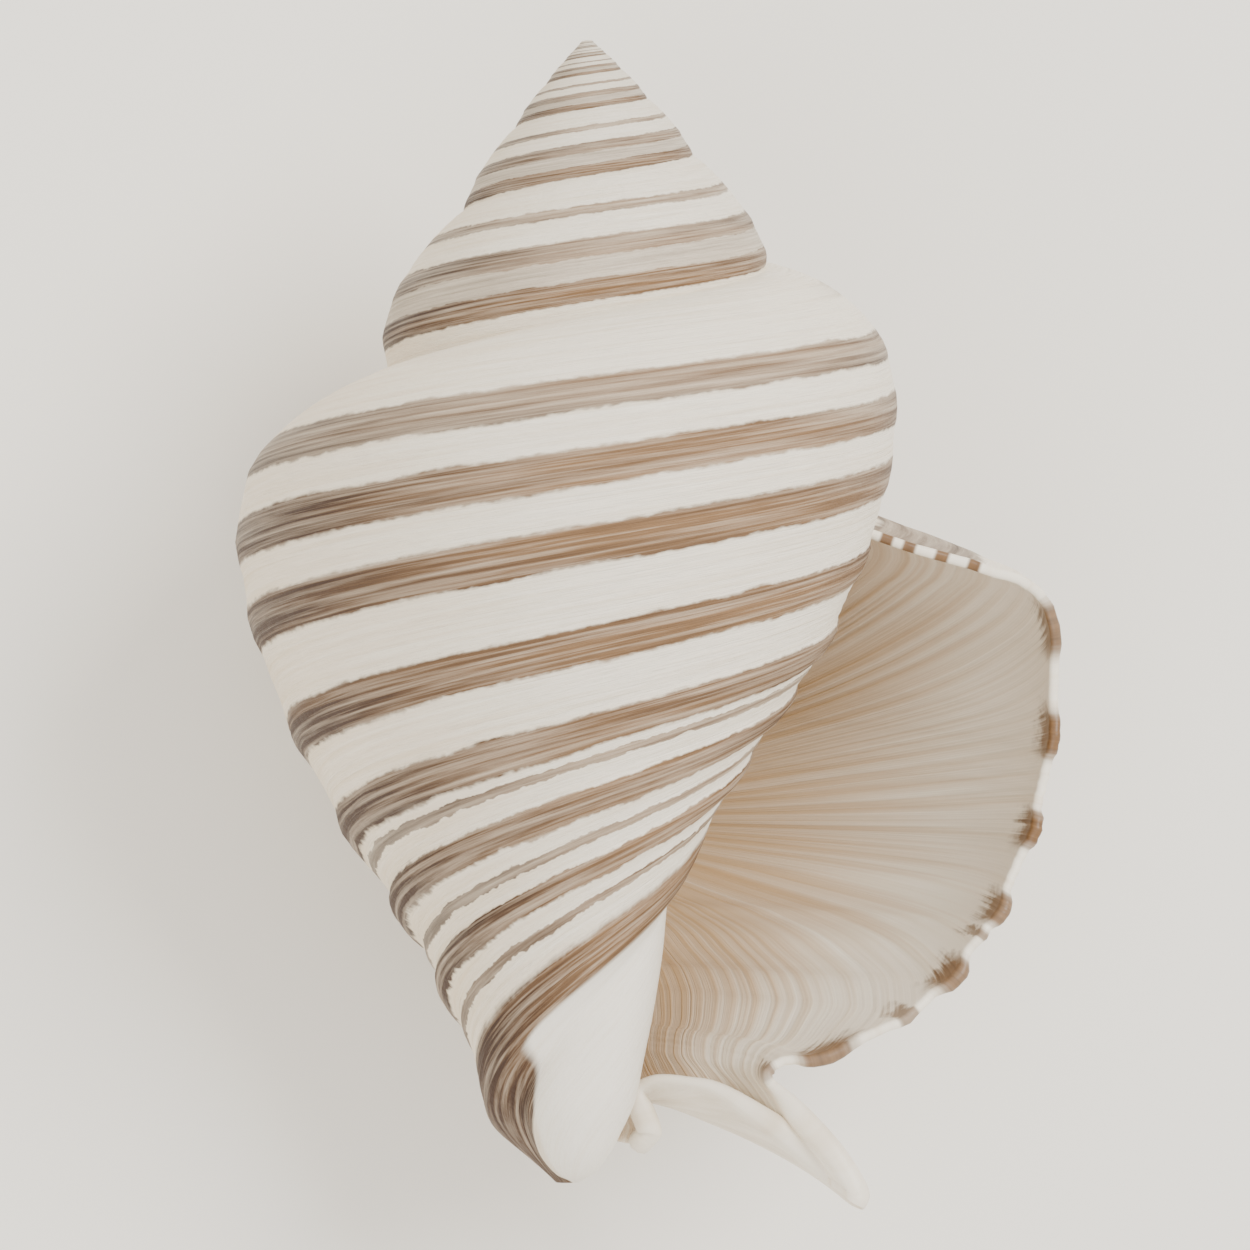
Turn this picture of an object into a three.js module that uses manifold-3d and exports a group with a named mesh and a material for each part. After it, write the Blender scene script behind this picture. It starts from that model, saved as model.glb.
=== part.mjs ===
// A banded whelk shell: one coiled piece of shell with a hollow last whorl, a flared outer lip,
// a twisted pillar and an open canal at the lower end. Millimetres, +Z up, lying on its back
// with the mouth upwards and the apex towards +Y.
//
// The shell is described in its own frame first: x to the right, y along the coiling axis with the
// apex at y = 0 and the rest of the shell below it, z out of the mouth. Growth is measured in turns:
// 0 is the lip on the right, -0.25 the back, -0.5 the left, -1 the right again one whorl earlier.
// A height on a whorl is given as a share of the depth of that whorl's widest point.
import * as THREE from "three";
import { mergeVertices } from "three/addons/utils/BufferGeometryUtils.js";
import Module from "manifold-3d";

// Driving dimensions
const LENGTH = 114.3; // apex to the end of the pillar
const WIDEST_DEPTH = 39; // depth below the apex of the widest point, one whorl before the lip
const WIDEST_RADIUS = 29; // radius there
const DEPTH_GROWTH = 0.517; // exponential growth of that depth in one turn
const RADIUS_GROWTH = 0.487; // the same for the radius
const SUTURE_DEPTH = 23.5; // depth of the seam between whorls, one whorl before the lip
const SUTURE_GROWTH = 0.66;
const SUTURE_DROP = 0.1; // extra descent of the seam on the last whorl
const CORE_END = -1 / 3; // where the solid-backed whorls end and the free outer wall goes on
const FIRST_TURN = CORE_END - 6.25; // where the coil starts
const CAVITY_START = -2.45; // where the hollow starts, deep inside
const CAVITY_END = CORE_END + 0.1;
const OVERLAP_TURN = 2 / 36; // the free wall starts this much earlier, inside the core's wall
const BURIED = 0.9; // and this deep in it
const ROOT = 0.8; // its upper edge goes this deep into the whorl before
const CALLUS = 0.4; // glaze inside the mouth, over the whorl before
const WALL = 1.9; // wall thickness
const LIP_WALL = 1.5; // wall thickness at the lip
const RIDGE = 2.08; // the ridge round the pillar, as a share of the widest depth
const RIDGE_LIMIT = 110; // the ridge never goes deeper than this
const CANAL_EDGE = 2.12; // the free lower edge of the last whorl
const PILLAR_BEND = 6.3; // how far the pillar's lower end leans to the left
const BEND_START = 78;
const BEND_LENGTH = 36;
const RIDGE_FADE = 9; // depth over which the ridge sinks into the pillar's end

// Radius of a whorl below its widest point: height share, radius share
const FLANK = [
  [0.96, 1], [1.06, 0.99], [1.18, 0.95], [1.3, 0.895], [1.42, 0.82], [1.55, 0.725],
  [1.68, 0.59], [1.81, 0.45], [1.94, 0.325], [2.04, 0.255], [2.12, 0.2],
];
// Radius of the pillar: depth, radius
const PILLAR = [
  [60, 3], [80, 5.3], [86, 5], [92.4, 5.5], [99.4, 5.8], [105.3, 5.7], [110.3, 4.1], [113.4, 1.9],
  [LENGTH, 0],
];
// The lip's edge: height share, then right, depth and forward
const LIP = [
  [0.77, 25.4, 50.0, 0], [0.81, 31, 52.2, -0.5], [0.85, 36.9, 54.2, -3], [0.89, 41.8, 56, -6],
  [0.93, 43.9, 58.3, -8], [1.0, 44.7, 63, -9.5], [1.14, 44.0, 72, -10], [1.36, 41.4, 81.5, -9.5],
  [1.46, 39.4, 86, -8.5], [1.56, 37, 90, -7.5], [1.7, 32, 95.9, -6], [1.775, 26.6, 100.2, -4.5],
  [1.84, 18.6, 102.8, -3], [1.91, 13.7, 104.6, -2], [1.935, 16.5, 107.1, -0.5],
  [1.96, 21.2, 112.8, 1], [1.975, 22.8, 116.4, 1], [1.985, 21.8, 118.1, 0.6], [2.0, 18.1, 115.1, 0],
  [2.025, 12.3, 109.9, -0.5], [2.045, 6.5, 105.5, -1.5], [2.06, 2.5, 104.9, -3],
  [2.07, 0.8, 105.6, -4], [2.08, 1.7, 107.2, -4.5], [2.1, 2.5, 109.9, -5], [2.12, 1.2, 111.7, -6],
];
const FLARE_TURN = 0.28; // the lip's shape is reached over this much growth
const FLARE_POWER = 1.6;

const REST_ROLL = -16; // degrees about the coiling axis to the balanced spot of the back
const REST_PITCH = 4.5; // degrees that lift the apex end
const WORN = 0.8; // depth of the worn flat that it rests on

// Mesh fineness
const TURN_STEPS = 36; // columns in one turn
const SPIRE_ROWS = 6;
const FLANK_ROWS = 12;
const PILLAR_ROWS = 6;
const WALL_ROWS = 44;
const CAVITY_ROWS = 7;
const SLIVER = 0.01; // edges shorter than this are merged away

const lerp = (a, b, f) => a + (b - a) * f;
const smooth = (x, low, high) => THREE.MathUtils.smoothstep(x, low, high);

/** A smooth curve through points [x, y...] with no overshoot, as a function of x. */
function through(points, column) {
  const x = points.map((p) => p[0]);
  const y = points.map((p) => p[column]);
  const slope = x.slice(1).map((_, i) => (y[i + 1] - y[i]) / (x[i + 1] - x[i]));
  const tangent = x.map((_, i) => {
    if (i === 0) return slope[0];
    if (i === x.length - 1) return slope[i - 1];
    const product = slope[i - 1] * slope[i];
    return product <= 0 ? 0 : (2 * product) / (slope[i - 1] + slope[i]);
  });
  return (at) => {
    const v = THREE.MathUtils.clamp(at, x[0], x[x.length - 1]);
    let i = x.findIndex((k) => k > v) - 1;
    if (i < 0) i = x.length - 2;
    const h = x[i + 1] - x[i];
    const f = (v - x[i]) / h;
    return (
      (2 * f ** 3 - 3 * f ** 2 + 1) * y[i] + (f ** 3 - 2 * f ** 2 + f) * h * tangent[i] +
      (3 * f ** 2 - 2 * f ** 3) * y[i + 1] + (f ** 3 - f ** 2) * h * tangent[i + 1]
    );
  };
}

const flankShare = through(FLANK, 1);
const pillarRadius = through(PILLAR, 1);
const lipCurve = [1, 2, 3].map((column) => through(LIP, column));

const widestDepth = (turn) => WIDEST_DEPTH * Math.exp(DEPTH_GROWTH * (turn + 1));
const widestRadius = (turn) => WIDEST_RADIUS * Math.exp(RADIUS_GROWTH * (turn + 1));

/** Depth of the seam above the whorl at this point of growth. */
function sutureDepth(turn) {
  const late = Math.max(turn + 1, 0);
  return SUTURE_DEPTH * Math.exp(SUTURE_GROWTH * (turn + 1) + SUTURE_DROP * late ** 2);
}

/** Depth of the ridge round the pillar, eased to its limit. */
function ridgeDepth(turn) {
  const ease = 3;
  const free = RIDGE * widestDepth(turn);
  return RIDGE_LIMIT - ease * Math.log1p(Math.exp((RIDGE_LIMIT - free) / ease));
}

/** Radius of the whorl at a height share, seam to ridge, without the pillar. */
function whorlRadius(turn, share, level = 3) {
  const seam = sutureDepth(turn) / widestDepth(turn);
  const before = sutureDepth(turn) / widestDepth(turn - 1);
  const start = level ? whorlRadius(turn - 1, before, level - 1) / widestRadius(turn) : 0.61;
  const late = smooth(turn, -1.7, -0.9); // the first whorls are straighter in the side
  const top = lerp(0.94, 1, late);
  if (share >= FLANK[0][0]) return widestRadius(turn) * flankShare(share) * top;
  const f = THREE.MathUtils.clamp((share - seam) / (FLANK[0][0] - seam), 0, 1);
  const bulge = (1 - (1 - f) ** lerp(1.4, 2.4, late)) ** lerp(0.85, 0.62, late);
  return widestRadius(turn) * (start + (top - start) * bulge);
}

const bend = (depth) => -PILLAR_BEND * smooth(depth, BEND_START, BEND_START + BEND_LENGTH);

/** A point of the shell's frame from growth, radius and depth. */
function place(turn, radius, depth) {
  const angle = turn * 2 * Math.PI;
  return new THREE.Vector3(
    radius * Math.cos(angle) + bend(depth), -depth, radius * Math.sin(angle));
}

/** The greater of two radii with a soft crossing. */
function softMax(a, b, blend) {
  const h = Math.max(blend - Math.abs(a - b), 0) / blend;
  return Math.max(a, b) + (h * h * blend) / 4;
}

/** Radius of the solid-backed whorls at a depth, pillar included. */
function coreRadius(turn, depth) {
  const share = depth / widestDepth(turn);
  const whorl = share > CANAL_EDGE + 0.2 ? 0 : whorlRadius(turn, share) *
    (1 - smooth(depth, ridgeDepth(turn), ridgeDepth(turn) + RIDGE_FADE));
  const pillar = depth > 60 ? pillarRadius(depth) : 0;
  return softMax(whorl, pillar, 1.2);
}

/** A grid of points as triangles; rows run along the first index. */
function gridFaces(grid, faces, flip = false) {
  for (let i = 0; i + 1 < grid.length; i++) {
    for (let j = 0; j + 1 < grid[i].length; j++) {
      const [a, b, c, d] = [grid[i][j], grid[i][j + 1], grid[i + 1][j + 1], grid[i + 1][j]];
      if (flip) faces.push(a, c, b, a, d, c);
      else faces.push(a, b, c, a, c, d);
    }
  }
}

/** A closed solid from a flat list of corner points; the lists above run clockwise. */
function solidFrom(corners) {
  const geometry = new THREE.BufferGeometry().setFromPoints(corners);
  const merged = mergeVertices(geometry, 1e-4);
  const index = merged.index.array;
  const kept = [];
  for (let i = 0; i < index.length; i += 3) {
    const [a, b, c] = index.slice(i, i + 3);
    if (a !== b && b !== c && a !== c) kept.push(a, c, b);
  }
  const solid = new wasm.Manifold(new wasm.Mesh({
    numProp: 3,
    vertProperties: merged.attributes.position.array,
    triVerts: new Uint32Array(kept),
  }));
  return solid;
}

/** Depths of one column's rows from the seam down: exposed rows, flank rows, pillar rows. */
function columnDepths(turn, full) {
  const top = sutureDepth(turn);
  const next = sutureDepth(turn + 1);
  const depths = [];
  for (let j = 0; j <= SPIRE_ROWS; j++) depths.push(lerp(top, next, (j / SPIRE_ROWS) ** 1.5));
  if (!full) return depths;
  const ridge = Math.max(ridgeDepth(turn), next + 1);
  for (let j = 1; j <= FLANK_ROWS; j++) depths.push(lerp(next, ridge, j / FLANK_ROWS));
  for (let j = 1; j <= PILLAR_ROWS; j++) {
    depths.push(lerp(ridge, LENGTH, j < PILLAR_ROWS ? Math.sin(((j / PILLAR_ROWS) * Math.PI) / 2) : 1));
  }
  return depths;
}

/** Joins two columns that share their ends, always stepping to the nearer next depth. */
function zipFaces(left, right, faces) {
  let i = 0;
  let j = 0;
  while (i + 1 < left.length || j + 1 < right.length) {
    const down = j + 1 >= right.length || (i + 1 < left.length && left[i + 1].y >= right[j + 1].y);
    if (down) faces.push(left[i], left[i + 1], right[j]);
    else faces.push(left[i], right[j + 1], right[j]);
    if (down) i++;
    else j++;
  }
}

/** The solid-backed whorls and the pillar, up to the place where the free wall takes over. */
function makeCore() {
  const columns = [];
  const early = Math.round((CORE_END - 1 - FIRST_TURN) * TURN_STEPS);
  for (let i = 0; i <= early + TURN_STEPS; i++) {
    const turn = FIRST_TURN + i / TURN_STEPS;
    const column = columnDepths(turn, i >= early).map(
      (depth) => place(turn, depth < LENGTH ? coreRadius(turn, depth) : 0, depth));
    if (i >= TURN_STEPS) column[0] = columns[i - TURN_STEPS][SPIRE_ROWS];
    columns.push(column);
  }
  const faces = [];
  gridFaces(columns.slice(0, early + 1).map((c) => c.slice(0, SPIRE_ROWS + 1)), faces);
  gridFaces(columns.slice(early), faces);
  const apex = new THREE.Vector3();
  for (let i = 0; i < TURN_STEPS; i++) faces.push(apex, columns[i][0], columns[i + 1][0]);
  for (let j = 0; j < SPIRE_ROWS; j++) faces.push(apex, columns[0][j + 1], columns[0][j]);
  zipFaces(columns[early + TURN_STEPS], columns[early].slice(SPIRE_ROWS), faces);
  return solidFrom(faces);
}

/** The coiled hollow inside the solid-backed whorls, running out past their end. */
function makeCavity() {
  const loops = [];
  const steps = Math.round((CAVITY_END - CAVITY_START) * TURN_STEPS);
  for (let i = 0; i <= steps; i++) {
    const turn = CAVITY_START + i / TURN_STEPS;
    const top = sutureDepth(turn) + WALL;
    const end = ridgeDepth(turn) - WALL;
    const outer = [];
    const inner = [];
    for (let j = 0; j <= CAVITY_ROWS; j++) {
      const depth = lerp(top, end, (1 - Math.cos((j / CAVITY_ROWS) * Math.PI)) / 2);
      const low = coreRadius(turn - 1, depth) + CALLUS;
      const high = Math.max(whorlRadius(turn, depth / widestDepth(turn)) - WALL, low + 0.3);
      const atEnd = j === 0 || j === CAVITY_ROWS;
      outer.push(place(turn, atEnd ? low : high, depth));
      inner.push(place(turn, low, depth));
    }
    loops.push({ outer, inner });
  }
  const faces = [];
  gridFaces(loops.map((l) => l.outer), faces);
  gridFaces(loops.map((l) => l.inner), faces, true);
  zipFaces(loops[0].inner, loops[0].outer, faces);
  zipFaces(loops[steps].outer, loops[steps].inner, faces);
  return solidFrom(faces);
}

/** Height share on a whorl for a lip label, which counts from the seam to the canal's edge. */
function shareOf(turn, label) {
  const seam = sutureDepth(turn) / widestDepth(turn);
  return label < 1 ? lerp(seam, 1, (label - LIP[0][0]) / (1 - LIP[0][0])) : label;
}

/** The free wall's outer side before it flares. */
function plainWall(turn, label) {
  const share = shareOf(turn, label);
  const knee = 1.3;
  const free = widestDepth(turn) * Math.min(share, knee);
  const f = Math.max(share - knee, 0) / (CANAL_EDGE - knee);
  const depth = share < knee ? free : lerp(free, RIDGE_LIMIT, f ** 0.9);
  const atDepth = whorlRadius(turn, depth / widestDepth(turn));
  const leave = smooth(turn, CORE_END, CORE_END + 0.2);
  const rooted = ROOT * (1 - smooth(label, LIP[0][0], LIP[0][0] + 0.04));
  return place(turn, lerp(atDepth, whorlRadius(turn, share), leave) - rooted, depth);
}

/** The free wall's outer side, flared towards the lip. */
function outerWall(turn, label) {
  const point = plainWall(turn, label);
  const flare = Math.max(turn / FLARE_TURN + 1, 0) ** FLARE_POWER;
  const [right, depth, forward] = lipCurve.map((curve) => curve(label));
  const lip = new THREE.Vector3(right, -depth, forward);
  return point.addScaledVector(lip.sub(plainWall(0, label)), flare);
}

/** The way into the shell's hollow, square to the wall. */
function inward(turn, label) {
  const step = 0.004;
  const along = outerWall(Math.min(turn + step, 0), label).sub(outerWall(turn - step, label));
  const down = outerWall(turn, label + step).sub(outerWall(turn, label - step));
  return down.cross(along).normalize();
}

/** The last part of the whorl: a free wall with the flared lip and the canal's edge. */
function makeWall() {
  const columns = [];
  const start = CORE_END - OVERLAP_TURN;
  const steps = Math.round(-start * TURN_STEPS);
  for (let i = 0; i <= steps; i++) {
    const turn = lerp(start, 0, i / steps);
    const buried = BURIED * (1 - smooth(turn, start, CORE_END)) + (turn < CORE_END - 1e-6 ? 0.12 : 0);
    const thick = lerp(WALL - 0.15, LIP_WALL, smooth(turn, CORE_END, 0));
    const outer = [];
    const inner = [];
    for (let j = 0; j <= WALL_ROWS; j++) {
      const label = LIP[0][0] + (CANAL_EDGE - LIP[0][0]) * rowShare(j / WALL_ROWS);
      const point = outerWall(turn, label);
      const way = inward(turn, label);
      outer.push(point.clone().addScaledVector(way, buried));
      inner.push(point.clone().addScaledVector(way, thick));
    }
    columns.push({ outer, inner });
  }
  const faces = [];
  gridFaces(columns.map((c) => c.outer), faces);
  gridFaces(columns.map((c) => c.inner), faces, true);
  const first = columns[0];
  const last = columns[steps];
  gridFaces([first.inner, first.outer], faces);
  gridFaces([last.outer, last.inner], faces);
  gridFaces([columns.map((c) => c.outer[0]), columns.map((c) => c.inner[0])], faces);
  gridFaces([columns.map((c) => c.inner[WALL_ROWS]), columns.map((c) => c.outer[WALL_ROWS])], faces);
  return solidFrom(faces);
}

/** Spreads the wall's rows so that the narrow tongue and canal get more of them. */
function rowShare(f) {
  return f < 0.5 ? f * 1.6 : 0.8 + (f - 0.5) * 0.4;
}

const wasm = await Module();
wasm.setup();
const core = makeCore();
const cavity = makeCavity();
const wall = makeWall();
const grown = core.subtract(cavity).add(wall);

// Lay it down: a roll and a pitch bring the balanced spot of the back to the floor, where a worn
// flat keeps it still. The origin is under the middle of the box, on the floor.
const turned = grown.rotate([0, REST_ROLL, 0]).rotate([REST_PITCH, 0, 0]);
const box = turned.boundingBox();
const middle = [0, 1].map((k) => -(box.min[k] + box.max[k]) / 2);
const resting = turned.translate([...middle, -box.min[2] - WORN]).trimByPlane([0, 0, 1], 0).simplify(SLIVER);

const made = resting.getMesh();
const positions = new Float32Array(made.numVert * 3);
for (let i = 0; i < made.numVert; i++) {
  positions.set(made.vertProperties.subarray(i * made.numProp, i * made.numProp + 3), i * 3);
}
const geometry = new THREE.BufferGeometry();
geometry.setAttribute("position", new THREE.BufferAttribute(positions, 3));
geometry.setIndex(new THREE.BufferAttribute(made.triVerts, 1));
geometry.computeVertexNormals();

const shell = new THREE.Mesh(
  geometry, new THREE.MeshStandardMaterial({ color: 0xe9dcc6, roughness: 0.45, metalness: 0 }));
shell.name = "shell";
const group = new THREE.Group();
group.add(shell);
export default group;
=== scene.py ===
"""A banded whelk shell lying on its back, with its mouth, twisted pillar and canal upwards.

The shell's own frame is x to the right, y along the coiling axis with the apex at y = 0 and the
rest below it, z out of the mouth. Growth is counted in turns: 0 is the lip on the right, -0.25 the
back, -0.5 the left and -1 the right again, one whorl earlier. A height on a whorl is a share of
the depth of that whorl's widest point. Sizes are in millimetres until a mesh is made.
"""
from __future__ import annotations

import logging
import math
from dataclasses import dataclass, field
from enum import Enum
from typing import Sequence

import bpy
import numpy as np
from mathutils import Matrix, Vector

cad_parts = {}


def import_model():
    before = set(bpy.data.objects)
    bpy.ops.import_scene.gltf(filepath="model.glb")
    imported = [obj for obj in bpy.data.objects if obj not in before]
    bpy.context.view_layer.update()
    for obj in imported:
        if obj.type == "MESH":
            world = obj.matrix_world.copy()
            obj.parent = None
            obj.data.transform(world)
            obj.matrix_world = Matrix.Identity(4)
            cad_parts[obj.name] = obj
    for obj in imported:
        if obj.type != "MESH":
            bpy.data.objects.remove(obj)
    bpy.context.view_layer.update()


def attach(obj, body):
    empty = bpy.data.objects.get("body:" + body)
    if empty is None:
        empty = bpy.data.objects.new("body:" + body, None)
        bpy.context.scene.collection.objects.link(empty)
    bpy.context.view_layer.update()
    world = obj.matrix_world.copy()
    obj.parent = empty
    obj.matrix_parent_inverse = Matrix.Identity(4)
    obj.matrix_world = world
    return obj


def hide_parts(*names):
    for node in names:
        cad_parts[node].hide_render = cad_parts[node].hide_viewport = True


logging.basicConfig(level=logging.INFO, format="%(message)s")
LOG = logging.getLogger("whelk")

FIRST_LABEL = -8.0  # the growth that stands at u = 0 on every sheet
SHARE_SCALE = 2.4  # the height share that stands at v = 1
SPIRE_TURN = 1.9  # turns from the lip, past which the bands shift to stay between the seams
SPIRE_SHIFT = 0.143  # how fast they shift
TICKS = (0.786, 0.802, 0.824, 0.846)  # height shares of the short marks on the lip's upper edge
ONE_POINT = 2e-6  # metres within which two points are merged
ON_FLOOR = 1e-7  # metres within which a point counts as on the floor


class Side(Enum):
    """Which finish a sheet of shell wears."""

    OUTSIDE = 0
    INSIDE = 1


def smooth(x: np.ndarray | float, low: float, high: float) -> np.ndarray:
    """A smooth step from 0 at low to 1 at high."""
    f = np.clip((np.asarray(x, float) - low) / (high - low), 0.0, 1.0)
    return f * f * (3.0 - 2.0 * f)


def lerp(a: np.ndarray | float, b: np.ndarray | float, f: np.ndarray | float) -> np.ndarray:
    """The mix of a and b, b at f = 1."""
    return a + (b - a) * f


def unit(v: np.ndarray) -> np.ndarray:
    """The vectors at length 1."""
    return v / np.linalg.norm(v, axis=-1, keepdims=True)


def pick(*objects: bpy.types.Object) -> None:
    """Selects these objects only, with the first one active."""
    bpy.ops.object.select_all(action="DESELECT")
    for item in objects:
        item.select_set(True)
    bpy.context.view_layer.objects.active = objects[0]


@dataclass(frozen=True)
class Curve:
    """A smooth curve through points, with no overshoot."""

    x: tuple[float, ...]
    y: tuple[float, ...]

    def __call__(self, at: np.ndarray | float) -> np.ndarray:
        """The curve's height.

        Args:
            at: where along x to read it; past an end it keeps the end's height.

        Returns:
            The heights, as an array of the same shape.
        """
        x, y = np.array(self.x), np.array(self.y)
        slope = np.diff(y) / np.diff(x)
        product = slope[:-1] * slope[1:]
        safe = np.where(product > 0, slope[:-1] + slope[1:], 1.0)
        tangent = np.concatenate(
            [slope[:1], np.where(product > 0, 2.0 * product / safe, 0.0), slope[-1:]])
        v = np.clip(np.asarray(at, float), x[0], x[-1])
        i = np.clip(np.searchsorted(x, v, side="right") - 1, 0, len(x) - 2)
        h = x[i + 1] - x[i]
        f = (v - x[i]) / h
        return (
            (2 * f**3 - 3 * f**2 + 1) * y[i] + (f**3 - 2 * f**2 + f) * h * tangent[i]
            + (3 * f**2 - 2 * f**3) * y[i + 1] + (f**3 - f**2) * h * tangent[i + 1]
        )


@dataclass(frozen=True)
class Band:
    """A spiral band: its middle as a height share, its width, how dark and how raised it is."""

    middle: float
    width: float
    depth: float
    rise: float


BANDS = (
    Band(0.81, 0.075, 0.85, 0.30),
    Band(0.97, 0.085, 0.95, 0.35),
    Band(1.14, 0.090, 1.00, 0.40),
    Band(1.355, 0.085, 1.00, 0.60),
    Band(1.540, 0.075, 0.95, 0.85),
    Band(1.605, 0.020, 0.80, 0.25),
    Band(1.690, 0.060, 0.95, 1.05),
    Band(1.765, 0.020, 0.80, 0.25),
    Band(1.835, 0.050, 0.95, 1.00),
    Band(1.905, 0.020, 0.85, 0.25),
    Band(2.100, 0.250, 1.05, 0.60),
)


@dataclass
class ShellForm:
    """The spiral surfaces that every sheet of the shell is laid on.

    A row of the lip is its label, which counts down the wall, then how far right, how deep and how
    far forward the edge stands there. The rest shift puts the worn flat on the floor.
    """

    length: float = 114.3
    widest_depth_mm: float = 39.0
    widest_radius_mm: float = 29.0
    depth_growth: float = 0.517
    radius_growth: float = 0.487
    seam_depth_mm: float = 23.5
    seam_growth: float = 0.66
    seam_drop: float = 0.1
    core_end: float = -1.0 / 3.0
    ridge: float = 2.08
    ridge_limit: float = 110.0
    canal_edge: float = 2.12
    pillar_bend: float = 6.3
    bend_start: float = 78.0
    bend_length: float = 36.0
    ridge_fade: float = 9.0
    flare_turn: float = 0.28
    flare_power: float = 1.6
    root: float = 0.8
    knee: float = 1.3
    apex_share: float = 0.61
    ridge_ease: float = 3.0
    pillar_start: float = 60.0
    fillet: float = 1.2
    fillet_rise: float = 0.3
    rest_roll: float = math.radians(-16.0)
    rest_pitch: float = math.radians(4.5)
    rest_shift: tuple[float, float, float] = (-5.10673, 59.12632, 44.39304)
    flank: Curve = Curve(
        (0.96, 1.06, 1.18, 1.3, 1.42, 1.55, 1.68, 1.81, 1.94, 2.04, 2.12),
        (1.0, 0.99, 0.95, 0.895, 0.82, 0.725, 0.59, 0.45, 0.325, 0.255, 0.2))
    pillar: Curve = Curve(
        (60, 80, 86, 92.4, 99.4, 105.3, 110.3, 113.4, 114.3), (3, 5.3, 5, 5.5, 5.8, 5.7, 4.1, 1.9, 0))
    lip: tuple[tuple[float, float, float, float], ...] = (
        (0.77, 25.4, 50.0, 0), (0.81, 31, 52.2, -0.5), (0.85, 36.9, 54.2, -3), (0.89, 41.8, 56, -6),
        (0.93, 43.9, 58.3, -8), (1.0, 44.7, 63, -9.5), (1.14, 44.0, 72, -10), (1.36, 41.4, 81.5, -9.5),
        (1.46, 39.4, 86, -8.5), (1.56, 37, 90, -7.5), (1.7, 32, 95.9, -6), (1.775, 26.6, 100.2, -4.5),
        (1.84, 18.6, 102.8, -3), (1.91, 13.7, 104.6, -2), (1.935, 16.5, 107.1, -0.5),
        (1.96, 21.2, 112.8, 1), (1.975, 22.8, 116.4, 1), (1.985, 21.8, 118.1, 0.6),
        (2.0, 18.1, 115.1, 0), (2.025, 12.3, 109.9, -0.5), (2.045, 6.5, 105.5, -1.5),
        (2.06, 2.5, 104.9, -3), (2.07, 0.8, 105.6, -4), (2.08, 1.7, 107.2, -4.5),
        (2.1, 2.5, 109.9, -5), (2.12, 1.2, 111.7, -6))

    def widest_depth(self, turn: np.ndarray) -> np.ndarray:
        """Depth of the widest point of the whorl."""
        return self.widest_depth_mm * np.exp(self.depth_growth * (turn + 1))

    def widest_radius(self, turn: np.ndarray) -> np.ndarray:
        """Radius of the widest point of the whorl."""
        return self.widest_radius_mm * np.exp(self.radius_growth * (turn + 1))

    def seam_depth(self, turn: np.ndarray) -> np.ndarray:
        """Depth of the seam above the whorl."""
        late = np.maximum(turn + 1, 0)
        return self.seam_depth_mm * np.exp(self.seam_growth * (turn + 1) + self.seam_drop * late**2)

    def ridge_depth(self, turn: np.ndarray) -> np.ndarray:
        """Depth of the ridge round the pillar, eased to its limit."""
        free = self.ridge * self.widest_depth(turn)
        eased = np.log1p(np.exp((self.ridge_limit - free) / self.ridge_ease))
        return self.ridge_limit - self.ridge_ease * eased

    def whorl_radius(self, turn: np.ndarray, share: np.ndarray, level: int = 3) -> np.ndarray:
        """Radius of the whorl at a height share, without the pillar.

        Args:
            turn: growth.
            share: height share.
            level: how many whorls up the seam's own radius is worked out.

        Returns:
            The radius in millimetres.
        """
        seam = self.seam_depth(turn) / self.widest_depth(turn)
        before = self.seam_depth(turn) / self.widest_depth(turn - 1)
        start = (self.whorl_radius(turn - 1, before, level - 1) / self.widest_radius(turn)
                 if level else self.apex_share)
        late = smooth(turn, -1.7, -0.9)
        top = lerp(0.94, 1.0, late)
        first = self.flank.x[0]
        f = np.clip((share - seam) / (first - seam), 0, 1)
        bulge = (1 - (1 - f) ** lerp(1.4, 2.4, late)) ** lerp(0.85, 0.62, late)
        shoulder = start + (top - start) * bulge
        return self.widest_radius(turn) * np.where(share >= first, self.flank(share) * top, shoulder)

    def bend(self, depth: np.ndarray) -> np.ndarray:
        """How far the pillar leans to the left at a depth."""
        return -self.pillar_bend * smooth(depth, self.bend_start, self.bend_start + self.bend_length)

    def place(self, turn: np.ndarray, radius: np.ndarray, depth: np.ndarray) -> np.ndarray:
        """Points of the shell's frame from growth, radius and depth."""
        angle = turn * 2 * math.pi
        return np.stack(np.broadcast_arrays(
            radius * np.cos(angle) + self.bend(depth), -depth, radius * np.sin(angle)), -1)

    def core_radius(self, turn: np.ndarray, depth: np.ndarray) -> np.ndarray:
        """Radius of the solid-backed whorls at a depth, pillar included."""
        share = depth / self.widest_depth(turn)
        ridge = self.ridge_depth(turn)
        fade = 1 - smooth((depth - ridge) / self.ridge_fade, 0.0, 1.0)
        whorl = np.where(
            share > self.canal_edge + 0.2, 0.0, self.whorl_radius(turn, share) * fade)
        pillar = np.where(depth > self.pillar_start, self.pillar(depth), 0.0)
        near = np.maximum(self.fillet - np.abs(whorl - pillar), 0) / self.fillet
        return np.maximum(whorl, pillar) + near * near * self.fillet_rise

    def share_of(self, turn: np.ndarray, label: np.ndarray) -> np.ndarray:
        """Height share for a lip label, which counts from the seam to the canal's edge."""
        seam = self.seam_depth(turn) / self.widest_depth(turn)
        first = self.lip[0][0]
        return np.where(label < 1, lerp(seam, 1.0, (label - first) / (1 - first)), label)

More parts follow.
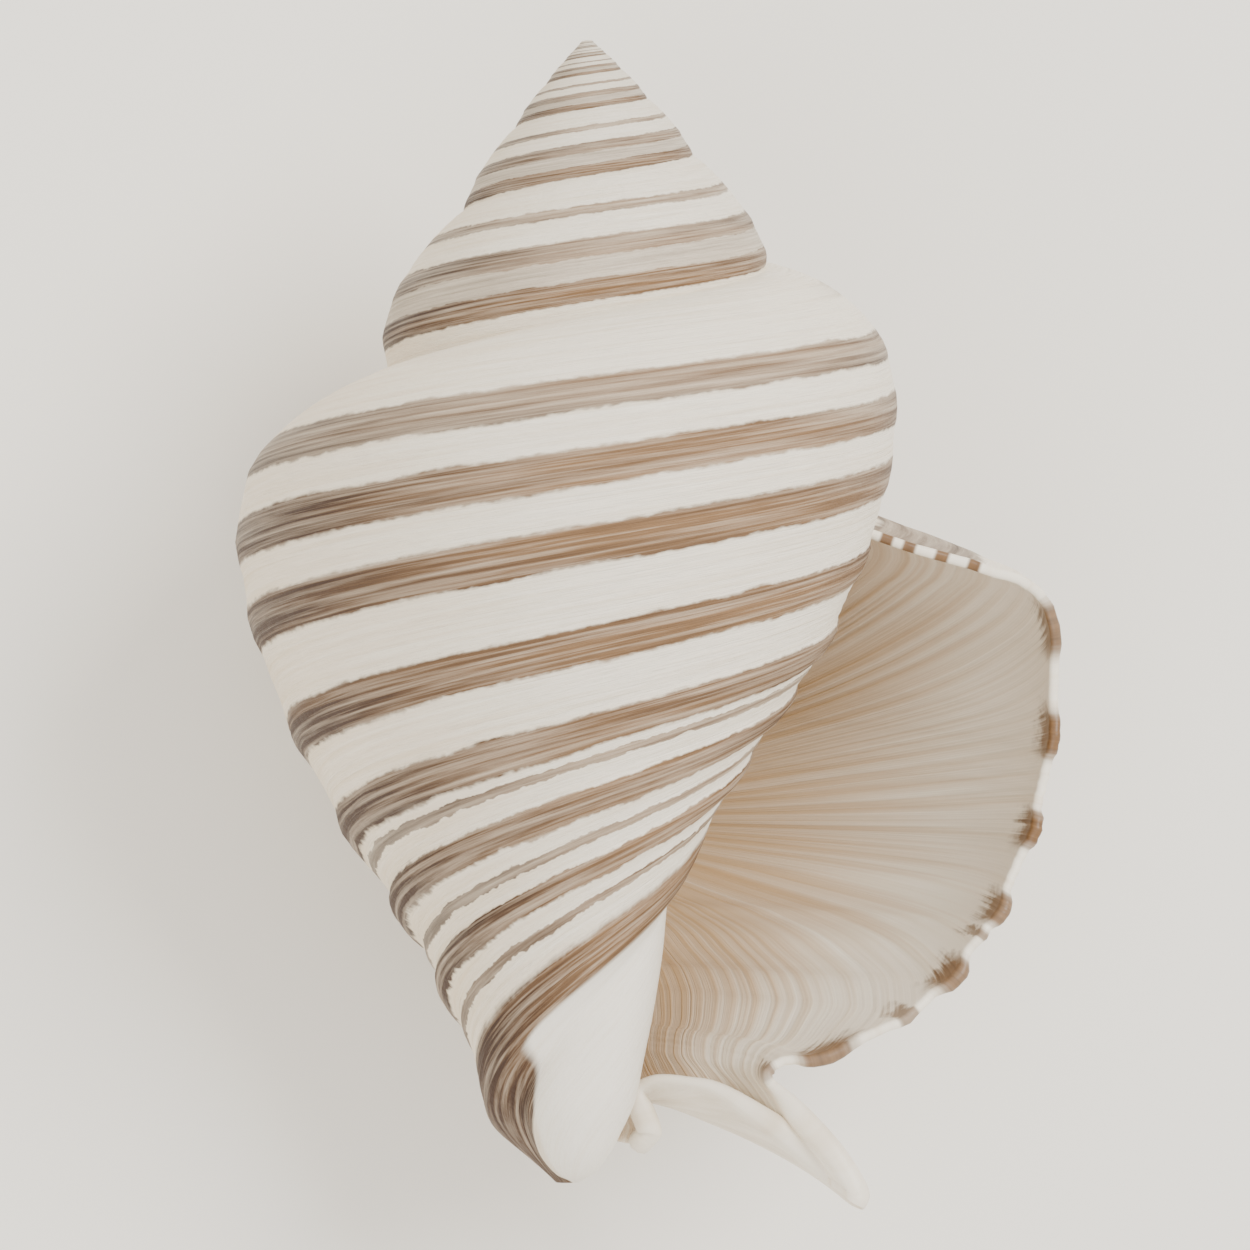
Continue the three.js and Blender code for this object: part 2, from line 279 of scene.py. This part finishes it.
    def plain_wall(self, turn: np.ndarray, label: np.ndarray) -> np.ndarray:
        """The free wall's outer side before it flares."""
        share = self.share_of(turn, label)
        wide = self.widest_depth(turn)
        f = np.maximum(share - self.knee, 0) / (self.canal_edge - self.knee)
        free = wide * np.minimum(share, self.knee)
        depth = np.where(share < self.knee, free, lerp(free, self.ridge_limit, f**0.9))
        leave = smooth(turn, self.core_end, self.core_end + 0.2)
        radius = lerp(self.whorl_radius(turn, depth / wide), self.whorl_radius(turn, share), leave)
        first = self.lip[0][0]
        rooted = self.root * (1 - smooth(label, first, first + 0.04))
        return self.place(turn, radius - rooted, depth)

    def outer_wall(self, turn: np.ndarray, label: np.ndarray) -> np.ndarray:
        """The free wall's outer side, flared towards the lip."""
        keys = [tuple(row[k] for row in self.lip) for k in range(4)]
        right, depth, forward = (Curve(keys[0], keys[k])(label) for k in (1, 2, 3))
        lip = np.stack(np.broadcast_arrays(right, -depth, forward), -1)
        flare = np.maximum(turn / self.flare_turn + 1, 0)[..., None] ** self.flare_power
        still = self.plain_wall(np.zeros_like(turn), label)
        return self.plain_wall(turn, label) + flare * (lip - still)

    def relief(self, turn: np.ndarray, share: np.ndarray) -> np.ndarray:
        """Height of the raised bands and fine cords over the plain surface."""
        share = share * np.exp(-SPIRE_SHIFT * np.minimum(turn + SPIRE_TURN, 0))
        raised = np.zeros(np.broadcast(turn, share).shape)
        for band in BANDS:
            half = band.width * 0.5
            raised = raised + band.rise * np.exp(-(((share - band.middle) / half) ** 4))
        fine = 0.05 * np.sin(share * 210.0) + 0.035 * np.sin(share * 470.0 + 1.3)
        size = np.clip(self.widest_radius(turn) / self.widest_radius(np.float64(-0.5)), 0.05, 1.0)
        return (raised + fine) * size

    def to_row(self, points: np.ndarray) -> np.ndarray:
        """Lays points of the shell's frame down on the floor, in metres."""
        turned = Matrix.Rotation(self.rest_pitch, 3, "X") @ Matrix.Rotation(self.rest_roll, 3, "Y")
        laid = points @ np.array(turned).T + np.array(self.rest_shift)
        return laid * 0.001


@dataclass
class Sheet:
    """A rectangle of shell surface: its points, the growth and share of each, and its side."""

    name: str
    points: np.ndarray
    turn: np.ndarray
    share: np.ndarray
    side: Side
    glaze: np.ndarray | float = 0.0

    def lay(self) -> bpy.types.Object:
        """Adds a flat grid and winds it onto the points.

        Returns:
            The sheet's object, with growth and share in its UV map.
        """
        rows, columns = self.points.shape[:2]
        bpy.ops.object.select_all(action="DESELECT")
        bpy.ops.mesh.primitive_grid_add(
            x_subdivisions=rows - 1, y_subdivisions=columns - 1, size=2.0, calc_uvs=True)
        sheet = bpy.context.object
        sheet.name = self.name
        mesh = sheet.data
        flat = np.empty(len(mesh.vertices) * 3)
        mesh.vertices.foreach_get("co", flat)
        flat = flat.reshape(-1, 3)
        i = np.rint((flat[:, 0] + 1) / 2 * (rows - 1)).astype(int)
        j = np.rint((flat[:, 1] + 1) / 2 * (columns - 1)).astype(int)
        mesh.vertices.foreach_set("co", self.points[i, j].ravel())
        corner = np.empty(len(mesh.loops), dtype=np.int32)
        mesh.loops.foreach_get("vertex_index", corner)
        u = (np.broadcast_to(self.turn, (rows, columns)) - FIRST_LABEL) / -FIRST_LABEL
        v = np.broadcast_to(self.share, (rows, columns)) / SHARE_SCALE
        uv = np.stack([u[i, j], v[i, j]], -1)[corner]
        mesh.uv_layers[0].name = "growth"
        mesh.uv_layers[0].data.foreach_set("uv", uv.ravel())
        glaze = np.broadcast_to(self.glaze, (rows, columns))[i, j][corner]
        layer = mesh.uv_layers.new(name="glaze")
        layer.data.foreach_set("uv", np.stack([glaze, glaze], -1).ravel())
        for side in Side:
            mesh.materials.append(placeholder(side))
        mesh.polygons.foreach_set(
            "material_index", np.full(len(mesh.polygons), self.side.value, dtype=np.int32))
        mesh.update()
        return sheet


def placeholder(side: Side) -> bpy.types.Material:
    """The material that keeps a side's faces together until it is dressed."""
    name = f"shell {side.name.lower()}"
    return bpy.data.materials.get(name) or bpy.data.materials.new(name)


def close_up(sheets: Sequence[bpy.types.Object], name: str) -> bpy.types.Object:
    """Joins sheets into one closed solid facing out.

    Args:
        sheets: the sheets, whose edges meet or ring a gap to be filled.
        name: the solid's name.

    Returns:
        The joined object.
    """
    pick(*sheets)
    if len(sheets) > 1:
        bpy.ops.object.join()
    solid = bpy.context.object
    solid.name = name
    bpy.ops.object.mode_set(mode="EDIT")
    bpy.ops.mesh.select_all(action="SELECT")
    bpy.ops.mesh.remove_doubles(threshold=ONE_POINT)
    bpy.ops.mesh.select_all(action="SELECT")
    bpy.ops.mesh.fill_holes(sides=0)
    bpy.ops.mesh.select_all(action="SELECT")
    bpy.ops.mesh.normals_make_consistent(inside=False)
    bpy.ops.object.mode_set(mode="OBJECT")
    return solid


def carve(target: bpy.types.Object, tool: bpy.types.Object, operation: str) -> None:
    """Cuts away or adds a solid with a Boolean modifier, which is applied, and removes the tool.

    Args:
        target: the solid that is changed.
        tool: the solid that is taken away or added.
        operation: DIFFERENCE or UNION.
    """
    pick(target)
    cut = target.modifiers.new(operation.title(), "BOOLEAN")
    cut.operation = operation
    cut.object = tool
    cut.solver = "MANIFOLD"
    bpy.ops.object.modifier_apply(modifier=cut.name)
    bpy.data.objects.remove(tool, do_unlink=True)


@dataclass
class Core:
    """The solid-backed whorls with the twisted pillar."""

    form: ShellForm
    steps: int = 144
    spire_rows: int = 26
    flank_rows: int = 84
    pillar_rows: int = 34
    whorls: float = 7.0

    def radii(self, turn: np.ndarray, depth: np.ndarray) -> np.ndarray:
        """Radii with the raised bands, which fade out on the pillar."""
        share = depth / self.form.widest_depth(turn)
        seam = self.form.seam_depth(turn) / self.form.widest_depth(turn)
        top = smooth(share - seam, 0.0, 0.05)
        bare = 1 - smooth(depth - self.form.ridge_depth(turn), 0.0, 3.0)
        return self.form.core_radius(turn, depth) + self.form.relief(turn, share) * bare * top

    def build(self) -> bpy.types.Object:
        """Winds the spire and the last solid-backed whorl and closes them.

        Returns:
            The core's solid.
        """
        form = self.form
        early = int(self.whorls * self.steps)
        turn = (form.core_end - 1 - self.whorls) + np.arange(early + self.steps + 1) / self.steps
        top, below = form.seam_depth(turn), form.seam_depth(turn + 1)
        f = np.linspace(0, 1, self.spire_rows + 1) ** 1.3
        exposed = lerp(top[:, None], below[:, None], f[None, :])
        spire = form.place(turn[:, None], self.radii(turn[:, None], exposed), exposed)
        for i in range(self.steps, len(turn)):
            spire[i, 0] = spire[i - self.steps, -1]
        late = turn[early:]
        ridge = np.maximum(form.ridge_depth(late), below[early:] + 1)[:, None]
        g = np.linspace(0, 1, self.flank_rows + 1)[None, :]
        down = lerp(below[early:, None], ridge, g)
        h = np.sin(np.linspace(0, 1, self.pillar_rows + 1) * math.pi / 2)[None, 1:]
        end = np.concatenate([down, lerp(ridge, form.length, h)], axis=1)
        flank = form.place(late[:, None], self.radii(late[:, None], end), end)
        flank[:, -1] = form.place(np.float64(0), np.float64(0), np.float64(form.length))
        flank[:, 0] = spire[early:, -1]
        wide = form.widest_depth(turn)[:, None]
        hidden = (1 - smooth(late, -1.07, -1.01))[:, None] * (end > below[early:, None] + 0.8)
        front = 1 - smooth(late, -0.64, -0.56)[:, None]
        glaze = np.maximum(hidden, smooth(end - ridge, -0.6, 0.9) * front)
        sheets = [
            Sheet("spire", form.to_row(spire), turn[:, None], exposed / wide, Side.OUTSIDE),
            Sheet("last whorl", form.to_row(flank), late[:, None], end / wide[early:], Side.OUTSIDE,
                  glaze),
        ]
        return close_up([sheet.lay() for sheet in sheets], "core")


@dataclass
class Hollow:
    """The coiled space inside the last whorl, which is taken out of the core."""

    form: ShellForm
    steps: int = 48
    rows: int = 28
    start: float = -2.45
    wall: float = 1.9
    callus: float = 0.4

    def build(self) -> bpy.types.Object:
        """Winds the space as a closed tube.

        Returns:
            The tube's solid.
        """
        form = self.form
        end = form.core_end + 0.1
        turn = np.linspace(self.start, end, round((end - self.start) * self.steps) + 1)[:, None]
        f = (1 - np.cos(np.linspace(0, 1, self.rows + 1) * math.pi)) / 2
        depth = lerp(form.seam_depth(turn) + self.wall, form.ridge_depth(turn) - self.wall, f[None, :])
        share = depth / form.widest_depth(turn)
        low = form.core_radius(turn - 1, depth) + self.callus
        high = np.maximum(form.whorl_radius(turn, share) - self.wall, low + 0.3)
        high[:, 0], high[:, -1] = low[:, 0], low[:, -1]
        sheets = [
            Sheet("hollow outer", form.to_row(form.place(turn, high, depth)), turn, share, Side.INSIDE),
            Sheet("hollow inner", form.to_row(form.place(turn, low, depth)), turn, share, Side.INSIDE),
        ]
        return close_up([sheet.lay() for sheet in sheets], "hollow")


@dataclass
class Lip:
    """The free outer wall of the last whorl, flared into the lip, with the canal's edge."""

    form: ShellForm
    columns: int = 96
    rows: int = 230
    rim_rows: int = 5
    overlap: float = 2 / 36
    buried: float = 0.9
    wall: float = 1.75
    edge: float = 1.0
    scallop: float = 0.8
    swell: float = 1.5

    def spread(self, f: np.ndarray) -> np.ndarray:
        """Labels of the rows, closer together on the narrow tongue and canal."""
        first, last = self.form.lip[0][0], self.form.canal_edge
        return first + (last - first) * np.where(f < 0.5, f * 1.6, 0.8 + (f - 0.5) * 0.4)

    def inward(self, turn: np.ndarray, label: np.ndarray) -> np.ndarray:
        """The way into the shell's hollow, square to the wall."""
        step = 0.004
        along = self.form.outer_wall(np.minimum(turn + step, 0), label) - self.form.outer_wall(
            turn - step, label)
        down = self.form.outer_wall(turn, label + step) - self.form.outer_wall(turn, label - step)
        return unit(np.cross(down, along))

    def strip(self, outer: np.ndarray, inner: np.ndarray, way: np.ndarray) -> np.ndarray:
        """A rounded edge between two lines of points.

        Args:
            outer: points of one line.
            inner: points of the other.
            way: the direction that each point of the edge bulges in.

        Returns:
            The edge's rows, from outer to inner.
        """
        f = np.linspace(0, math.pi, self.rim_rows + 1)
        half = np.linalg.norm(inner - outer, axis=-1, keepdims=True) / 2
        middle, reach = (outer + inner) / 2, (outer - inner) / 2
        rows = [middle + reach * math.cos(a) + way * half * math.sin(a) * 0.8 for a in f]
        return np.stack(rows, axis=0)

    def build(self) -> bpy.types.Object:
        """Winds the wall's two faces, rounds its edges and closes it.

        Returns:
            The wall's solid.
        """
        form = self.form
        start = form.core_end - self.overlap
        turn = np.linspace(start, 0, self.columns + 1)[:, None]
        label = self.spread(np.linspace(0, 1, self.rows + 1))[None, :]
        turn, label = np.broadcast_arrays(turn, label)
        share = form.share_of(turn, label)
        way = self.inward(turn, label)
        bury = self.buried * (1 - smooth(turn, start, form.core_end))
        bury = bury + np.where(turn < form.core_end - 1e-6, 0.12, 0.0)
        thick = lerp(self.wall, self.edge, smooth(turn, form.core_end, 0))
        thick = thick + self.swell * smooth(turn, -0.12, -0.01) * (
            smooth(label, 1.915, 1.945) * (1 - smooth(label, 2.02, 2.05)) + smooth(label, 2.065, 2.08))
        relief = form.relief(turn, share) * smooth(label, 0.8, 0.86) * (1 - smooth(label, 1.9, 1.93))
        surface = form.outer_wall(turn, label)
        outer = surface + way * (bury - relief)[..., None]
        inner = surface + way * (thick - relief * 0.6)[..., None]
        ahead = unit(outer[-1] - outer[-2])
        waves = sum(np.exp(-(((label - band.middle) / 0.035) ** 2)) for band in BANDS[1:-2])
        waves = waves * smooth(label, 0.86, 0.92) * (1 - smooth(label, 1.86, 1.9))
        push = (self.scallop * smooth(turn, -0.035, 0.0) * waves)[..., None] * ahead[None]
        outer, inner = outer + push, inner + push
        below = unit(outer[:, -1] - outer[:, -2])
        above = unit(outer[:, 0] - outer[:, 1])
        for edge, place in ((below, -1), (above, 0)):
            corner = edge[-1] + ahead[place]
            edge[-1] = ahead[place] = corner / np.linalg.norm(corner)
        rim = self.strip(outer[-1], inner[-1], ahead)
        base = self.strip(outer[:, -1], inner[:, -1], below)
        root = self.strip(outer[:, 0], inner[:, 0], above)
        n = self.rim_rows + 1
        sheets = [
            Sheet("wall outer", form.to_row(outer), turn, share, Side.OUTSIDE),
            Sheet("wall inner", form.to_row(inner), turn, share, Side.INSIDE),
            Sheet("lip rim", form.to_row(rim), turn[-1][None], share[-1][None].repeat(n, 0), Side.INSIDE),
            Sheet("canal edge", form.to_row(base), turn[:, -1][None], share[:, -1][None].repeat(n, 0),
                  Side.INSIDE),
            Sheet("root edge", form.to_row(root), turn[:, 0][None], share[:, 0][None].repeat(n, 0),
                  Side.INSIDE),
            Sheet("start edge", form.to_row(np.stack([outer[0], inner[0]])), turn[:2], share[:2],
                  Side.INSIDE),
        ]
        return close_up([sheet.lay() for sheet in sheets], "wall")


@dataclass(frozen=True)
class Wire:
    """A shader socket that can be used in arithmetic."""

    nodes: "Board"
    socket: bpy.types.NodeSocket

    def _math(self, kind: str, *values: "Wire | float") -> "Wire":
        """One Math node on these values."""
        return self.nodes.add("ShaderNodeMath", {"operation": kind}, dict(enumerate(values)))

    def __add__(self, other: "Wire | float") -> "Wire":
        """The sum."""
        return self._math("ADD", self, other)

    def __radd__(self, other: float) -> "Wire":
        """The sum, number first."""
        return self._math("ADD", other, self)

    def __sub__(self, other: "Wire | float") -> "Wire":
        """The difference."""
        return self._math("SUBTRACT", self, other)

    def __rsub__(self, other: float) -> "Wire":
        """The difference, number first."""
        return self._math("SUBTRACT", other, self)

    def __mul__(self, other: "Wire | float") -> "Wire":
        """The product."""
        return self._math("MULTIPLY", self, other)

    def __rmul__(self, other: float) -> "Wire":
        """The product, number first."""
        return self._math("MULTIPLY", other, self)

    def __truediv__(self, other: "Wire | float") -> "Wire":
        """The quotient."""
        return self._math("DIVIDE", self, other)

    def __pow__(self, other: float) -> "Wire":
        """The power."""
        return self._math("POWER", self, other)

    def absolute(self) -> "Wire":
        """The value without its sign."""
        return self._math("ABSOLUTE", self)

    def cosine(self) -> "Wire":
        """The cosine of an angle in radians."""
        return self._math("COSINE", self)

    def at_least(self, other: "Wire | float") -> "Wire":
        """The greater of the two."""
        return self._math("MAXIMUM", self, other)

    def at_most(self, other: "Wire | float") -> "Wire":
        """The lesser of the two."""
        return self._math("MINIMUM", self, other)

    def clamped(self) -> "Wire":
        """The value kept between 0 and 1."""
        return self.at_least(0.0).at_most(1.0)

    def step(self, low: float, high: float) -> "Wire":
        """A smooth step from 0 at low to 1 at high; high may be the lower one."""
        turned = high < low
        ends = {"From Min": min(low, high), "From Max": max(low, high),
                "To Min": float(turned), "To Max": float(not turned)}
        return self.nodes.add(
            "ShaderNodeMapRange", {"interpolation_type": "SMOOTHSTEP"}, {"Value": self, **ends})


@dataclass
class Board:
    """A material's node tree, with one method that makes every node."""

    material: bpy.types.Material

    def add(self, kind: str, settings: dict, inputs: dict, output: str | int = 0) -> Wire:
        """Adds a node.

        Args:
            kind: the node's type.
            settings: its properties, set first.
            inputs: values or wires by the name or number of their socket.
            output: the name or number of the socket to return.

        Returns:
            The node's output.
        """
        node = self.material.node_tree.nodes.new(kind)
        for key, value in settings.items():
            setattr(node, key, value)
        for key, value in inputs.items():
            socket = node.inputs[key]
            if isinstance(value, Wire):
                self.material.node_tree.links.new(value.socket, socket)
            else:
                socket.default_value = value
        return Wire(self, node.outputs[output])

    def add_output(self, shader: Wire) -> None:
        """Ends the tree at this shader."""
        end = self.material.node_tree.nodes.new("ShaderNodeOutputMaterial")
        self.material.node_tree.links.new(shader.socket, end.inputs["Surface"])

    def mix(self, factor: Wire | float, a: Wire | tuple, b: Wire | tuple) -> Wire:
        """The colour between a and b."""
        colours = {6: (*a, 1.0) if isinstance(a, tuple) else a,
                   7: (*b, 1.0) if isinstance(b, tuple) else b}
        return self.add("ShaderNodeMix", {"data_type": "RGBA"}, {0: factor, **colours}, 2)

    def noise(self, x: Wire, y: Wire, scale: tuple[float, float], detail: float = 3.0) -> Wire:
        """Noise over two values, stretched by their scales, from 0 to 1."""
        where = self.add("ShaderNodeCombineXYZ", {}, {0: x * scale[0], 1: y * scale[1]})
        return self.add("ShaderNodeTexNoise", {"noise_dimensions": "2D"},
                        {"Vector": where, "Scale": 1.0, "Detail": detail, "Roughness": 0.6})


@dataclass(frozen=True)
class ShellColours:
    """The shell's own colours; cream also serves as painted shade on the white's left side and deep in
    the mouth, and deep is partly painted shade in the mouth.
    """

    white: tuple[float, float, float] = (0.92, 0.84, 0.70)
    cream: tuple[float, float, float] = (0.68, 0.51, 0.31)
    tan: tuple[float, float, float] = (0.28, 0.155, 0.068)
    brown: tuple[float, float, float] = (0.045, 0.018, 0.007)
    # deep: the tan far inside the mouth, partly the shell's own tint and partly painted shade.
    deep: tuple[float, float, float] = (0.46, 0.27, 0.12)
    callus: tuple[float, float, float] = (0.90, 0.84, 0.73)


@dataclass
class ShellFinish:
    """The banded outside or the porcelain inside, painted by growth and height share."""

    side: Side
    colours: ShellColours = field(default_factory=ShellColours)

    def bands(self, share: Wire, soft: float = 0.12) -> Wire:
        """How much of a band there is at a height share; soft is how far its edges fade."""
        total: Wire | float = 0.0
        for band in BANDS:
            away = (share - band.middle).absolute()
            half = band.width / 2
            total = away.step(half * (1.0 + soft), half * (1.0 - soft)) * band.depth + total
        return total

    def dress(self) -> bpy.types.Material:
        """Builds the nodes.

        Returns:
            The finished material.
        """
        material = placeholder(self.side)
        material.use_nodes = True
        material.node_tree.nodes.clear()
        board = Board(material)
        growth = board.add("ShaderNodeUVMap", {"uv_map": "growth"}, {})
        split = board.add("ShaderNodeSeparateXYZ", {}, {0: growth})
        turn = split * -FIRST_LABEL + FIRST_LABEL
        share = board.add("ShaderNodeSeparateXYZ", {}, {0: growth}, 1) * SHARE_SCALE
        paint = self.outside if self.side is Side.OUTSIDE else self.inside
        colour, rough, height = paint(board, turn, share)
        bump = board.add("ShaderNodeBump", {}, {"Height": height, "Strength": 0.6, "Distance": 0.0004},
                         "Normal")
        shader = board.add("ShaderNodeBsdfPrincipled", {}, {
            "Base Color": colour, "Roughness": rough, "Normal": bump, "IOR": 1.5,
            "Specular IOR Level": 0.35})
        board.add_output(shader)
        return material

    def outside(self, board: Board, turn: Wire, share: Wire) -> tuple[Wire, Wire, Wire]:
        """The white shell with its brown spiral bands, and painted shade on its left and right sides.

        Args:
            board: the material's nodes.
            turn: growth.
            share: height share.

        Returns:
            Colour, roughness and bump height.
        """
        tone = self.colours
        wobble = board.noise(turn, share, (22.0, 9.0)) - 0.5
        ragged = board.noise(turn, share, (120.0, 60.0), 2.0) - 0.5
        early = (turn + SPIRE_TURN).at_most(0.0) * -SPIRE_SHIFT
        edge = share * (early + early * early * 0.5 + 1.0) + wobble * 0.02 + ragged * 0.01
        band = self.bands(edge)
        spire = turn.step(-1.15, -1.45)
        infill = (edge - 0.89).absolute().step(0.075, 0.05) * spire * 0.5
        thin = (edge - 0.665).absolute().step(0.022, 0.014) * turn.step(-0.90, -1.10) * 0.8
        tongue = turn.step(-0.26, -0.12) * share.step(1.92, 1.95)
        band = band.at_least(infill).at_least(thin).at_most(1.0) * (1.0 - tongue * 0.85)
        streak = board.noise(turn, share, (7.0, 95.0), 4.0)
        broad = board.noise(turn, share, (3.0, 22.0), 2.0)
        # Painted shade: left peaks on the left side of each whorl and right on its right side; both
        # darken the bands' brown, and left also tints the white cream.
        left = ((turn + 0.5) * (2 * math.pi)).cosine().at_least(0.0) ** 1.6
        right = (turn * (2 * math.pi)).cosine().at_least(0.0) ** 5.0
        # dark is how brown the bands are: painted shade from the sides plus random streaks.
        dark = left * 0.66 + right * 0.36 + 0.24 + (streak - 0.5) * 1.5 + (broad - 0.5) * 0.9
        band_brown_with_painted_shade = board.mix(dark.clamped(), tone.tan, tone.brown)
        # shade is painted shade on the left of the white ground, mixed with random streaks.
        shade = (left * 0.45 + (streak - 0.42) * 1.1 + (broad - 0.5) * 0.5).clamped()
        ground = board.mix(shade * 0.75, tone.white, tone.cream)
        cover = (band * (0.95 + (streak - 0.5) * 0.9)).clamped()
        colour = board.mix(cover, ground, band_brown_with_painted_shade)
        glazed = board.add("ShaderNodeUVMap", {"uv_map": "glaze"}, {})
        glaze = board.add("ShaderNodeSeparateXYZ", {}, {0: glazed})
        veil = board.mix((streak - 0.45).at_least(0.0) * 0.7, tone.callus, tone.cream)
        colour = board.mix(glaze.step(0.25, 0.75), colour, veil)
        rough = 0.52 - glaze * 0.2 + (streak - 0.5) * 0.2
        fine = board.noise(turn, share, (26.0, 330.0), 2.0)
        height = (streak * 0.8 + fine * 0.6 + ragged * 0.4) * (1.0 - glaze * 0.7)
        return colour, rough, height

    def inside(self, board: Board, turn: Wire, share: Wire) -> tuple[Wire, Wire, Wire]:
        """The smooth inside with its radiating flutes, a tan further in that is partly its own tint and
        partly painted shade, and the marks where bands reach the lip.

        Args:
            board: the material's nodes.
            turn: growth.
            share: height share.

        Returns:
            Colour, roughness and bump height.
        """
        tone = self.colours
        fan = (share - 1.4) / (turn * 3.3 + 1.0).at_least(0.2) + 1.4
        flute = board.noise(turn, fan, (1.2, 26.0), 3.0)
        fine = board.noise(turn, fan, (4.0, 110.0), 3.0)
        # Deeper into the mouth the inside turns cream, then deep tan: partly the shell's own tint, partly
        # painted shade of the hollow.
        depth = turn.step(-0.02, -0.25)
        tan_with_painted_shade = (depth * 0.8 + (flute - 0.5) * 1.5 + (fine - 0.5) * 0.5).clamped()
        colour = board.mix(tan_with_painted_shade, tone.white, tone.cream)
        colour = board.mix((depth * 0.8 + (flute - 0.5) * 0.8 - 0.1).clamped(),
                           colour, tone.deep)
        ragged = board.noise(turn, share, (90.0, 40.0), 3.0) - 0.5
        reach = (turn + ragged * 0.02 + (fine - 0.5) * 0.035).step(-0.030, -0.010)
        ticks: Wire | float = 0.0
        for middle in TICKS:
            ticks = (share - middle).absolute().step(0.006, 0.003) + ticks
        corner = share.step(0.885, 0.91)
        marks = (self.bands(share + ragged * 0.03, 0.45) * corner + ticks * (1.0 - corner)) * reach
        marks = marks * (0.12 + share.step(1.93, 1.90) * 0.88)
        dark = board.mix((fine * 0.9).at_most(1.0), tone.tan, tone.brown)
        colour = board.mix(marks.at_most(1.0), colour, dark)
        rough = 0.36 + (fine - 0.5) * 0.15
        return colour, rough, flute + fine * 0.12


@dataclass
class Whelk:
    """The whole shell: core, hollow and free wall grown together."""

    form: ShellForm = field(default_factory=ShellForm)

    def build(self) -> bpy.types.Object:
        """Winds the parts, joins them in one solid and dresses it.

        Returns:
            The shell.
        """
        shell = Core(self.form).build()
        carve(shell, Hollow(self.form).build(), "DIFFERENCE")
        carve(shell, Lip(self.form).build(), "UNION")
        shell.name = "whelk_shell"
        pick(shell)
        self.wear_flat(shell)
        bpy.ops.object.shade_smooth_by_angle(angle=math.radians(50))
        for side in Side:
            ShellFinish(side).dress()
        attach(shell, "root")
        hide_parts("shell")
        return shell

    def wear_flat(self, shell: bpy.types.Object) -> None:
        """Cuts the worn flat that the shell rests on, level with the floor."""
        bpy.ops.object.mode_set(mode="EDIT")
        bpy.ops.mesh.select_all(action="SELECT")
        bpy.ops.mesh.bisect(
            plane_co=(0, 0, 0), plane_no=(0, 0, 1), use_fill=True, clear_inner=True,
            threshold=ON_FLOOR)
        bpy.ops.object.mode_set(mode="OBJECT")


@dataclass
class Studio:
    """A pale floor, soft lights and the camera over the shell."""

    form: ShellForm
    frame_mm: float = 125.0
    distance: float = 1.1
    roll: float = math.radians(2.6)
    centre: tuple[float, float] = (1.13, -58.8)
    sensor_mm: float = 36.0
    aim: tuple[float, float, float] = (0.0, 0.0, 0.03)

    def floor(self) -> None:
        """Lays the pale floor."""
        bpy.ops.object.select_all(action="DESELECT")
        bpy.ops.mesh.primitive_plane_add(size=6.0, location=(0, 0, 0))
        floor = bpy.context.object
        floor.name = "floor"
        material = bpy.data.materials.new("pale floor")
        material.use_nodes = True
        material.node_tree.nodes.clear()
        board = Board(material)
        shader = board.add("ShaderNodeBsdfPrincipled", {}, {
            "Base Color": (0.92, 0.88, 0.80, 1.0), "Roughness": 0.9})
        board.add_output(shader)
        floor.data.materials.append(material)

    def light(self, name: str, place: tuple[float, float, float], size: float, watts: float) -> None:
        """Hangs a soft square lamp that shines on the shell."""
        data = bpy.data.lights.new(name, "AREA")
        data.size, data.energy = size, watts
        lamp = bpy.data.objects.new(name, data)
        bpy.context.collection.objects.link(lamp)
        lamp.location = place
        way = Vector(self.aim) - Vector(place)
        lamp.rotation_euler = way.to_track_quat("-Z", "Y").to_euler()

    def set_up(self) -> None:
        """Places floor, lamps, sky and camera."""
        self.floor()
        self.light("key", (0.55, 0.45, 1.15), 0.7, 17.0)
        self.light("fill", (-0.7, -0.6, 1.1), 1.0, 8.0)
        world = bpy.data.worlds.new("soft sky")
        world.use_nodes = True
        sky = world.node_tree.nodes["Background"]
        sky.inputs["Color"].default_value = (1.0, 0.975, 0.93, 1.0)
        sky.inputs["Strength"].default_value = 1.35
        bpy.context.scene.world = world
        self.camera()

    def camera(self) -> None:
        """Sets the camera square to the coiling axis, with the shell's slight lean."""
        c, s = math.cos(self.roll), math.sin(self.roll)
        ends = np.array([[*self.centre, 0.0], [self.centre[0] + c, self.centre[1] - s, 0.0],
                         [self.centre[0] + s, self.centre[1] + c, 0.0]])
        target, right, up = (Vector(p) for p in self.form.to_row(ends))
        right, up = (right - target).normalized(), (up - target).normalized()
        back = right.cross(up)
        data = bpy.data.cameras.new("camera")
        data.sensor_width = self.sensor_mm
        data.lens = self.sensor_mm * self.distance / (self.frame_mm * 0.001)
        data.clip_start, data.clip_end = 0.01, 20.0
        eye = bpy.data.objects.new("camera", data)
        bpy.context.collection.objects.link(eye)
        turn = Matrix((right, up, back)).transposed()
        eye.matrix_world = Matrix.Translation(target + back * self.distance) @ turn.to_4x4()
        bpy.context.scene.camera = eye


def main() -> None:
    """Builds the shell and its studio."""
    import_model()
    shell = Whelk().build()
    LOG.info("%s: %d faces", shell.name, len(shell.data.polygons))
    Studio(ShellForm()).set_up()


if __name__ == "__main__":
    main()
